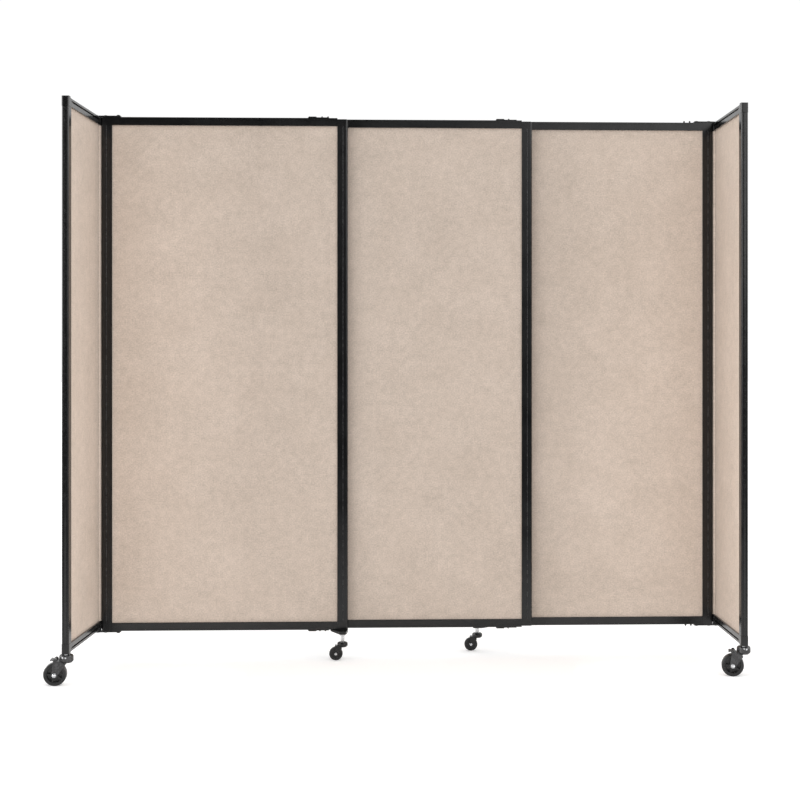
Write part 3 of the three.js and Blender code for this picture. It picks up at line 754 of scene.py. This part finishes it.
class SCREEN_OT_slot_wing_rails(bpy.types.Operator):
    """Cuts the open slot along the inner face of each wing's rails"""

    bl_idname = "screen.slot_wing_rails"
    bl_label = "Slot wing rails"

    inset = 11.5 * MM
    width = 5.6 * MM
    depth = 4 * MM
    cutter_length = 2000 * MM
    rail_half = 12.7 * MM

    def execute(self, context):
        for wing in WINGS:
            face = wing_pivot(wing) + wing_inward(wing) * self.rail_half
            turn = wing_turn(wing)
            for level in ("top", "bottom"):
                node = f"{wing}_{level}_rail"
                low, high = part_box(node)
                rail = copy_of_node(node, f"{node}_slotted")
                z = high.z - self.inset if level == "top" else low.z + self.inset
                bar = start_bar("slot", (self.cutter_length, self.depth * 2, self.width))
                cut_out(rail, bake(bar, Matrix.Translation((face.x, face.y, z)) @ turn))
                hand_over(rail, wing, "coated_wing_rail")
                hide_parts(node)
        return {"FINISHED"}


class SCREEN_OT_fill_stiles(bpy.types.Operator):
    """Lays a pale bead, a painted glint line, in each panel stile's groove, and a strip in the
    wings' end stiles
    """

    bl_idname = "screen.fill_stiles"
    bl_label = "Fill stiles"

    # The bead is pale grey: a painted highlight for the glint along the middle of each stile.
    glint_bead_radius = 1.25 * MM
    glint_bead_inset = 18.4 * MM
    glint_bead_depth = 1.55 * MM
    glint_bead_sides = 24
    strip_width = 8.6 * MM
    strip_thick = 2 * MM
    strip_depth = 0.9 * MM
    strip_edge = 0.6 * MM
    end_gap = 0.5 * MM

    def lay_glint_beads(self, panel):
        foot, top = between_rails(panel, self.end_gap)
        for side in ("left", "right"):
            low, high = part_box(f"{panel}_{side}_stile")
            x = low.x + self.glint_bead_inset if side == "left" else high.x - self.glint_bead_inset
            faces = {"front": low.y + self.glint_bead_depth, "back": high.y - self.glint_bead_depth}
            for face, y in faces.items():
                glint_bead = stand_rod(
                    f"{panel}_{side}_{face}_bead", self.glint_bead_radius, foot, top, self.glint_bead_sides,
                    Vector((x, y, 0)),
                )
                smooth(glint_bead)
                # Pale grey: the bead paints the stile's glint line.
                hand_over(glint_bead, panel, "grey_plastic_and_glint")

    def lay_strip(self, wing):
        pivot = wing_pivot(wing)
        along = wing_along(wing)
        foot, top = between_rails(wing, self.end_gap)
        points = frame["nodes"][f"{wing}_end_stile"].data.vertices
        reach = max((point.co - pivot).dot(along) for point in points)
        place = pivot + along * (reach - self.strip_depth - self.strip_thick / 2)
        place.z = (foot + top) / 2
        strip = start_bar(f"{wing}_end_strip", (self.strip_thick, self.strip_width, top - foot))
        bake(strip, Matrix.Translation(place) @ wing_turn(wing))
        use_modifier(strip, "BEVEL", width=self.strip_edge, segments=3)
        smooth(strip)
        hand_over(strip, wing, "black_plastic")

    def execute(self, context):
        for panel in PANELS:
            self.lay_glint_beads(panel)
        for wing in WINGS:
            self.lay_strip(wing)
        return {"FINISHED"}


class SCREEN_OT_coat_frames(bpy.types.Operator):
    """Coats the rails, stiles, straps, guides, brackets and other hardware"""

    bl_idname = "screen.coat_frames"
    bl_label = "Coat frames"

    finishes = {
        "rail": "coated_rail",
        "stile": "coated_stile",
        "strap": "coated_steel",
        "guide": "coated_steel",
        "bracket": "coated_steel",
        "glide": "black_nylon",
        "pin": "bright_zinc",
        "stem": "bright_zinc",
        "axle": "bright_zinc",
    }

    def execute(self, context):
        for name, node in frame["nodes"].items():
            kind = name.rsplit("_", 1)[-1]
            if kind in self.finishes:
                dress(node, self.finishes[kind])
        return {"FINISHED"}


class SCREEN_OT_bolt_straps(bpy.types.Operator):
    """Bolts the hinge straps to the panels"""

    bl_idname = "screen.bolt_straps"
    bl_label = "Bolt straps"

    # From the outer edge of the panel
    near = 14 * MM
    far = 62 * MM

    def execute(self, context):
        s = settings().fasteners
        low_places = []
        tall_places = []
        for side, inboard in (("left", 1), ("right", -1)):
            left_edge, right_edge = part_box(f"{side}_panel_{side}_stile")
            edge = left_edge.x if side == "left" else right_edge.x
            for level, flipped in (("top", False), ("bottom", True)):
                strap = f"{side}_hinge_{level}_strap"
                low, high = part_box(strap)
                z = low.z if flipped else high.z
                y = centre(strap).y
                for places, inset, kind in (
                    (low_places, self.near, "outer"),
                    (tall_places if side == "left" else low_places, self.far, "inner"),
                ):
                    name = f"{side}_hinge_{level}_{kind}_bolt"
                    place = Vector((edge + inboard * inset, y, z))
                    places.append((name, f"{side}_panel", place, flipped))
        low_bolt = domed_head("low_bolt", s.bolt_radius, s.bolt_height, s.sides, s.washer_rim)
        fasten(low_bolt, low_places)
        tall_bolt = domed_head(
            "tall_bolt", s.bolt_radius, s.tall_bolt_height, s.sides, s.washer_rim, s.spacer_height
        )
        fasten(tall_bolt, tall_places)
        return {"FINISHED"}


class SCREEN_OT_screw_guides(bpy.types.Operator):
    """Screws the guides and the caster brackets to the panels"""

    bl_idname = "screen.screw_guides"
    bl_label = "Screw guides"

    # From the right edge of the panel
    insets = {
        ("left_panel", "top"): (99 * MM, 76 * MM),
        ("left_panel", "bottom"): (107 * MM, 86 * MM),
        ("middle_panel", "top"): (90 * MM,),
        ("middle_panel", "bottom"): (92 * MM,),
        ("right_panel", "top"): (111 * MM, 89 * MM),
        ("right_panel", "bottom"): (105 * MM, 84 * MM),
    }
    # From the end of the bracket away from the caster
    bracket_insets = (20 * MM, 46 * MM)
    bracket_plate = 5 * MM
    rim_share = 0.6

    def execute(self, context):
        s = settings().fasteners
        tall = []
        for (panel, level), insets in self.insets.items():
            flipped = level == "bottom"
            low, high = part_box(f"{panel}_{level}_rail")
            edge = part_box(f"{panel}_right_stile")[1].x
            y = centre(f"{panel}_{level}_rail").y
            z = low.z if flipped else high.z
            for i, inset in enumerate(insets):
                name = f"{panel}_{level}_pin_{i + 1}"
                tall.append((name, panel, Vector((edge - inset, y, z)), flipped))
        pin = domed_head("pin", s.pin_radius, s.pin_height, s.sides)
        fasten(pin, tall)
        low_heads = []
        for panel, hand in (("left_panel", 1), ("right_panel", -1)):
            low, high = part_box(f"{panel}_caster_bracket")
            far = low.x if hand == 1 else high.x
            y = centre(f"{panel}_bottom_rail").y
            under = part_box(f"{panel}_bottom_rail")[0].z - self.bracket_plate
            for i, inset in enumerate(self.bracket_insets):
                name = f"{panel}_caster_bracket_screw_{i + 1}"
                low_heads.append((name, panel, Vector((far + hand * inset, y, under)), True))
        rim = s.washer_rim * self.rim_share
        screw = domed_head("screw", s.screw_radius, s.screw_height, s.sides, rim)
        fasten(screw, low_heads)
        return {"FINISHED"}


class SCREEN_OT_mould_casters(bpy.types.Operator):
    """Rounds the moulded forks and pedals of the casters"""

    bl_idname = "screen.mould_casters"
    bl_label = "Mould casters"

    def execute(self, context):
        s = settings().casters
        for name, node in list(frame["nodes"].items()):
            if not name.endswith(("caster_fork", "brake_pedal")):
                continue
            made = copy_of_node(name, f"{name}_moulding")
            made.data.remesh_voxel_size = s.grain
            select_only(made)
            bpy.ops.object.voxel_remesh()
            use_modifier(made, "SMOOTH", factor=0.5, iterations=4)
            smooth(made, angle=60)
            # The large forks are grey plastic whose pale tone is partly painted highlight for the
            # lit look of their legs; the small forks stay black.
            finish = "grey_plastic_and_glint" if name.startswith(WINGS) else "black_plastic"
            hand_over(made, body_of(node)[0], finish)
            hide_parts(name)
        return {"FINISHED"}


class SCREEN_OT_build_wheels(bpy.types.Operator):
    """Builds the tyres and the hubs of the wheels"""

    bl_idname = "screen.build_wheels"
    bl_label = "Build wheels"

    fit = 0.1 * MM
    pocket_gap = 1 * MM
    pocket_edge = 1.2 * MM
    pocket_share = 0.75
    pocket_corner = 50
    spoke_overrun = 4 * MM
    hub_short = 1.6 * MM
    lip = 2.2 * MM
    slope_share = 0.25
    boss_slope = 0.3 * MM
    boss_rise = 0.4 * MM
    bore_sides = 48
    smooth_angle = 35

    def rod(self, name, radius, depth, sides):
        """A rod along Y about the origin."""
        return bake(start_rod(name, radius, depth, sides, rotation=ABOUT_Y))

    def tyre(self, w, radius, sides):
        """A tyre about +Y at the origin, with rounded shoulders."""
        tyre = self.rod("tyre", radius, w.width, sides)

        def at_a_side(a, b):
            return abs(a.y + b.y) > w.width - NEAR

        round_edges(tyre, at_a_side, w.shoulder, segments=6)
        cut_out(tyre, self.rod("bore", radius - w.tread, w.width * 2, sides))
        smooth(tyre, self.smooth_angle)
        return tyre

    def pockets(self, w, outer, depth, sides):
        """The pockets between the spokes, as one solid about +Y that stands on y = 0."""
        tool = self.rod("pockets", outer, depth, sides)
        cut_out(tool, self.rod("core", w.boss + self.pocket_gap, depth * 2, sides))
        for i in range(w.spokes):
            size = (outer + self.spoke_overrun, depth * 2, w.spoke_width)
            bar = start_bar("spoke", size, location=(outer / 2, 0, 0))
            cut_out(tool, bake(bar, Matrix.Rotation(2 * math.pi * i / w.spokes, 4, "Y")))
        use_modifier(
            tool, "BEVEL", width=self.pocket_edge, segments=3, limit_method="ANGLE",
            angle_limit=math.radians(self.pocket_corner),
        )
        return bake(tool, Matrix.Translation((0, depth / 2, 0)))

    def hub(self, w, radius, sides):
        """A hub about +Y at the origin: a lip, a dished face, a boss and pockets between spokes."""
        width = w.width - self.hub_short
        slope = w.recess * self.slope_share
        hub = self.rod("hub", radius, width, sides)
        pick_faces(hub, lambda face: abs(face.normal.y) > FACING)
        bpy.ops.mesh.inset(thickness=self.lip, depth=0)
        bpy.ops.mesh.inset(thickness=slope, depth=-w.recess)
        bpy.ops.mesh.inset(thickness=radius - self.lip - slope - w.boss, depth=0)
        bpy.ops.mesh.inset(thickness=self.boss_slope, depth=w.recess + self.boss_rise)
        leave_edit()
        if w.spokes:
            floor = width / 2 - w.recess
            tool = self.pockets(w, radius - self.lip - self.pocket_gap, floor, sides)
            start = Matrix.Translation((0, floor * (1 - self.pocket_share), 0))
            back = copy_of(tool, "back_pockets")
            cut_out(hub, bake(tool, start))
            cut_out(hub, bake(back, Matrix.Rotation(math.pi, 4, "Z") @ start))
        cut_out(hub, self.rod("hole", w.bore, width * 2, self.bore_sides))
        smooth(hub, self.smooth_angle)
        return hub

    def execute(self, context):
        s = settings().casters
        for kind, carriers in (("large", WINGS), ("small", CASTER_PANELS)):
            w = getattr(s, kind)
            radius = joint(f"{carriers[0]}_caster_wheel_spin")["pos_m"][2]
            tyre = self.tyre(w, radius, s.sides)
            hub = self.hub(w, radius - w.tread - self.fit, s.sides)
            for carrier in carriers:
                node = f"{carrier}_caster_wheel"
                place = wheel_place(carrier)
                for pattern, part, finish in (
                    (tyre, "tyre", "black_rubber"), (hub, "hub", "black_plastic"),
                ):
                    made = bake(copy_of(pattern, f"{carrier}_caster_{part}"), place)
                    hand_over(made, node, finish)
                    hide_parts(node)
            bpy.data.objects.remove(tyre)
            bpy.data.objects.remove(hub)
        return {"FINISHED"}


class SCREEN_OT_head_rivets(bpy.types.Operator):
    """Puts the bright heads on the rivets of the small casters"""

    bl_idname = "screen.head_rivets"
    bl_label = "Head rivets"

    height = 3.4 * MM
    round_share = 0.8
    sides = 48

    def execute(self, context):
        s = settings().casters
        base = s.rivet_reach - self.height
        head = stand_rod("head", s.rivet_radius, 0, self.height, self.sides)
        round_top(head, self.height, self.height * self.round_share, segments=6)
        smooth(head)
        for carrier in CASTER_PANELS:
            for side, quarter in (("front", math.pi / 2), ("back", -math.pi / 2)):
                made = copy_of(head, f"{carrier}_caster_{side}_rivet_head")
                out = Matrix.Rotation(quarter, 4, "X") @ Matrix.Translation((0, 0, base))
                bake(made, wheel_place(carrier) @ out)
                hand_over(made, f"{carrier}_caster_fork", "bright_zinc")
        bpy.data.objects.remove(head)
        return {"FINISHED"}


class SCREEN_OT_rivet_forks(bpy.types.Operator):
    """Puts the small bright rivets on the head of each large fork"""

    bl_idname = "screen.rivet_forks"
    bl_label = "Rivet forks"

    radius = 3.2 * MM
    height = 2.4 * MM
    sunk = 0.8 * MM
    round_share = 0.6
    sides = 32
    # To the right of the stem, and over the floor
    places = {
        "left_wing": ((-9 * MM, 99 * MM), (1 * MM, 99 * MM)),
        "right_wing": ((-3 * MM, 102 * MM), (5.5 * MM, 100 * MM)),
    }

    def execute(self, context):
        top = self.height - self.sunk
        pattern = stand_rod("rivet", self.radius, -self.sunk, top, self.sides)
        round_top(pattern, top, self.height * self.round_share, segments=5)
        smooth(pattern)
        backwards = Vector((0, 1, 0))
        for wing, spots in self.places.items():
            fork = bpy.data.objects[f"{wing}_caster_fork_moulding"]
            stem = Vector(joint(f"{wing}_caster_swivel")["pos_m"])
            for i, (aside, z) in enumerate(spots):
                start = Vector((stem.x + aside, stem.y, z)) - backwards
                hit, place, normal, face = fork.ray_cast(start, backwards)
                if not hit:
                    raise RuntimeError(f"no surface for a rivet on the fork of {wing}")
                turn = normal.to_track_quat("Z", "Y").to_matrix().to_4x4()
                made = copy_of(pattern, f"{wing}_caster_fork_rivet_{i + 1}")
                bake(made, Matrix.Translation(place) @ turn)
                hand_over(made, f"{wing}_caster_fork", "bright_zinc")
        bpy.data.objects.remove(pattern)
        return {"FINISHED"}


class SCREEN_OT_sleeve_stems(bpy.types.Operator):
    """Puts the bright sleeve on the stem of each small caster"""

    bl_idname = "screen.sleeve_stems"
    bl_label = "Sleeve stems"

    radius = 7.2 * MM
    edge = 0.8 * MM
    clear = 0.6 * MM
    sides = 48

    def execute(self, context):
        for panel in CASTER_PANELS:
            stem = f"{panel}_caster_stem"
            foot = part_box(f"{panel}_caster_fork")[1].z + self.clear
            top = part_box(f"{panel}_caster_bracket")[0].z - self.clear
            sleeve = stand_rod(f"{stem}_sleeve", self.radius, foot, top, self.sides, centre(stem))
            use_modifier(sleeve, "BEVEL", width=self.edge, segments=3)
            smooth(sleeve)
            hand_over(sleeve, body_of(frame["nodes"][stem])[0], "bright_zinc")
        return {"FINISHED"}


class SCREEN_OT_set_stage(bpy.types.Operator):
    """Sets the floor, the light and the camera"""

    bl_idname = "screen.set_stage"
    bl_label = "Set stage"

    camera_glow = 0.28
    far_floor_glow = 0.05
    floor_grain = 40
    floor_tones = (0.93, 0.96)
    frame_pixels = 800
    sensor = 36
    camera_reach = 200

    def reflected_room(self, shader):
        """What glossy surfaces see: a bright back, a glow at each side and a dark front.

        The front has one pale patch, high on the right.
        """
        way = shader.node("ShaderNodeTexCoord").outputs["Generated"]
        part = shader.node("ShaderNodeSeparateXYZ", {"Vector": way})
        x, y, z = (part.outputs[axis] for axis in "XYZ")
        back = shader.fade(y, low=-0.15, high=0.15, start=0.06, end=0.88)
        right_glow = shader.fade(x, low=0.5, high=0.8, end=2.6)
        left_glow = shader.fade(x, low=-0.5, high=-0.8, end=5.0)
        in_front = shader.fade(y, low=0.1, high=0.45, start=1.0, end=0.0)
        sides = shader.maths("ADD", right_glow, left_glow)
        sides = shader.maths("MULTIPLY", sides, in_front)
        patch = shader.fade(x, low=0.06, high=0.1, end=2.2)
        patch = shader.maths("MULTIPLY", patch, shader.fade(z, low=0.09, high=0.13))
        patch = shader.maths("MULTIPLY", patch, shader.fade(y, low=-0.6, high=-0.9))
        seen = shader.maths("ADD", shader.maths("ADD", back, sides), patch)
        ground = shader.fade(z, low=-0.05, high=0.0, start=0.9, end=0.0)
        return shader.maths("MAXIMUM", seen, ground)

    def light_world(self, s):
        world = bpy.data.worlds.new("soft_light")
        bpy.context.scene.world = world
        world.use_nodes = True
        shader = Shader(world.node_tree)
        room = self.reflected_room(shader)
        glossy = shader.node("ShaderNodeBackground", {"Color": room, "Strength": 1.0})
        plain = shader.node("ShaderNodeBackground", {"Color": WHITE, "Strength": s.light})
        path = shader.node("ShaderNodeLightPath")
        mixed = shader.node(
            "ShaderNodeMixShader", {0: path.outputs["Is Glossy Ray"], 1: plain, 2: glossy}
        )
        shader.finish(mixed, "ShaderNodeOutputWorld")

    def add_lamp(self, name, size, strength, location, rotation):
        """A soft rectangular light that isn't seen itself."""
        data = bpy.data.lights.new(name, "AREA")
        data.shape = "RECTANGLE"
        data.size, data.size_y = size
        data.energy = strength
        lamp = bpy.data.objects.new(name, data)
        bpy.context.collection.objects.link(lamp)
        lamp.location = location
        lamp.rotation_euler = rotation
        lamp.visible_camera = False
        lamp.visible_glossy = False

    def add_low_lights(self, s):
        """A long soft light low in front and one behind, for the foot of the wall."""
        middle = centre("middle_panel_board")
        size = (s.strip_length, s.strip_height)
        for name, side, turn in (("front_low_light", -1, 0), ("back_low_light", 1, math.pi)):
            place = (middle.x, middle.y + side * s.strip_distance, s.strip_height)
            self.add_lamp(name, size, s.strip_power, place, (math.pi / 2, 0, turn))

    def add_wing_lights(self, s):
        """A tall soft light towards each wing, to fill the corner that it makes with the wall."""
        size = (s.fill_height, s.fill_width)
        for wing, strength in (("left_wing", s.left_power), ("right_wing", s.right_power)):
            pivot = wing_pivot(wing)
            side = 1 if wing_inward(wing).x > 0 else -1
            place = (
                pivot.x + side * s.fill_distance, pivot.y - s.fill_forward, s.fill_height / 2
            )
            turn = (0, side * math.pi / 2, 0)
            self.add_lamp(f"{wing}_light", size, strength, place, turn)

    def floor_material(self, s):
        """Pale floor. It glows a little to the camera, and in reflections only its middle shows."""
        made, shader = new_material("pale_floor")
        place = object_coordinates(shader)
        grain = shader.noise(place, self.floor_grain)
        tone = shader.blend(grain, *((level, level, level, 1) for level in self.floor_tones))
        matt = shader.node("ShaderNodeBsdfDiffuse", {"Color": tone})
        path = shader.node("ShaderNodeLightPath")
        seen = shader.maths("MULTIPLY", path.outputs["Is Camera Ray"], self.camera_glow)
        glow = shader.node("ShaderNodeEmission", {"Color": WHITE, "Strength": seen})
        lit = shader.node("ShaderNodeAddShader", {0: matt, 1: glow})
        away = shader.node("ShaderNodeVectorMath", {0: place}, operation="LENGTH")
        far = shader.fade(away.outputs["Value"], s.near_floor, s.far_floor)
        dim = shader.node("ShaderNodeEmission", {"Color": WHITE, "Strength": self.far_floor_glow})
        unlit = shader.maths("MULTIPLY", far, path.outputs["Is Glossy Ray"])
        shader.finish(shader.node("ShaderNodeMixShader", {0: unlit, 1: lit, 2: dim}))
        return made

    def lay_floor(self, s):
        deselect()
        bpy.ops.mesh.primitive_plane_add(size=s.floor, location=(0, 0, 0))
        floor = bpy.context.object
        floor.name = "studio_floor"
        floor.data.materials.append(self.floor_material(s))

    def set_camera(self, s):
        wall_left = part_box("left_panel_left_stile")[0]
        wall_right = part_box("right_panel_right_stile")[1]
        middle = (wall_left.x + wall_right.x) / 2
        data = bpy.data.cameras.new("camera")
        camera = bpy.data.objects.new("camera", data)
        bpy.context.collection.objects.link(camera)
        camera.location = (middle + s.offset, wall_left.y - s.distance, s.height)
        camera.rotation_euler = (math.pi / 2, 0, -s.yaw)
        data.sensor_width = self.sensor
        data.lens = s.focal * self.sensor / self.frame_pixels
        data.shift_x = -s.shift[0] / self.frame_pixels
        data.shift_y = s.shift[1] / self.frame_pixels
        data.clip_end = self.camera_reach
        bpy.context.scene.camera = camera

    def execute(self, context):
        s = settings().studio
        self.light_world(s)
        self.add_low_lights(s)
        self.add_wing_lights(s)
        self.lay_floor(s)
        self.set_camera(s)
        context.scene.view_settings.view_transform = "Standard"
        return {"FINISHED"}


STEPS = (
    SCREEN_OT_cover_boards,
    SCREEN_OT_wrap_posts,
    SCREEN_OT_cap_posts,
    SCREEN_OT_fill_stiles,
    SCREEN_OT_coat_frames,
    SCREEN_OT_slot_wing_rails,
    SCREEN_OT_bolt_straps,
    SCREEN_OT_screw_guides,
    SCREEN_OT_mould_casters,
    SCREEN_OT_build_wheels,
    SCREEN_OT_head_rivets,
    SCREEN_OT_rivet_forks,
    SCREEN_OT_sleeve_stems,
    SCREEN_OT_set_stage,
)


class ScreenSettings(bpy.types.PropertyGroup):
    """All the settings of the screen."""

    felt: PointerProperty(type=FeltSettings)
    frame: PointerProperty(type=FrameSettings)
    fasteners: PointerProperty(type=FastenerSettings)
    casters: PointerProperty(type=CasterSettings)
    studio: PointerProperty(type=StudioSettings)


class SCREEN_PT_steps(bpy.types.Panel):
    """Lists the steps that dress the screen."""

    bl_idname = "SCREEN_PT_steps"
    bl_label = "Privacy screen"
    bl_space_type = "VIEW_3D"
    bl_region_type = "UI"
    bl_category = "Screen"

    def draw(self, context):
        for step in STEPS:
            self.layout.operator(step.bl_idname)


CLASSES = (
    FeltSettings,
    FrameSettings,
    FastenerSettings,
    WheelSettings,
    CasterSettings,
    StudioSettings,
    ScreenSettings,
    *STEPS,
    SCREEN_PT_steps,
)


def register():
    for cls in CLASSES:
        bpy.utils.register_class(cls)
    bpy.types.Scene.screen_settings = PointerProperty(type=ScreenSettings)


def unregister():
    del bpy.types.Scene.screen_settings
    for cls in reversed(CLASSES):
        bpy.utils.unregister_class(cls)


def size_small_wheels():
    """The small wheels' own sizes. The large ones have the defaults."""
    small = settings().casters.small
    small.width = 19.6 * MM
    small.shoulder = 3.2 * MM
    small.tread = 7 * MM
    small.recess = 1.6 * MM
    small.boss = 8 * MM
    small.bore = 3.8 * MM
    small.spokes = 0


def main():
    register()
    size_small_wheels()
    for step in STEPS:
        group, name = step.bl_idname.split(".")
        getattr(getattr(bpy.ops, group), name)()


if __name__ == "__main__":
    main()
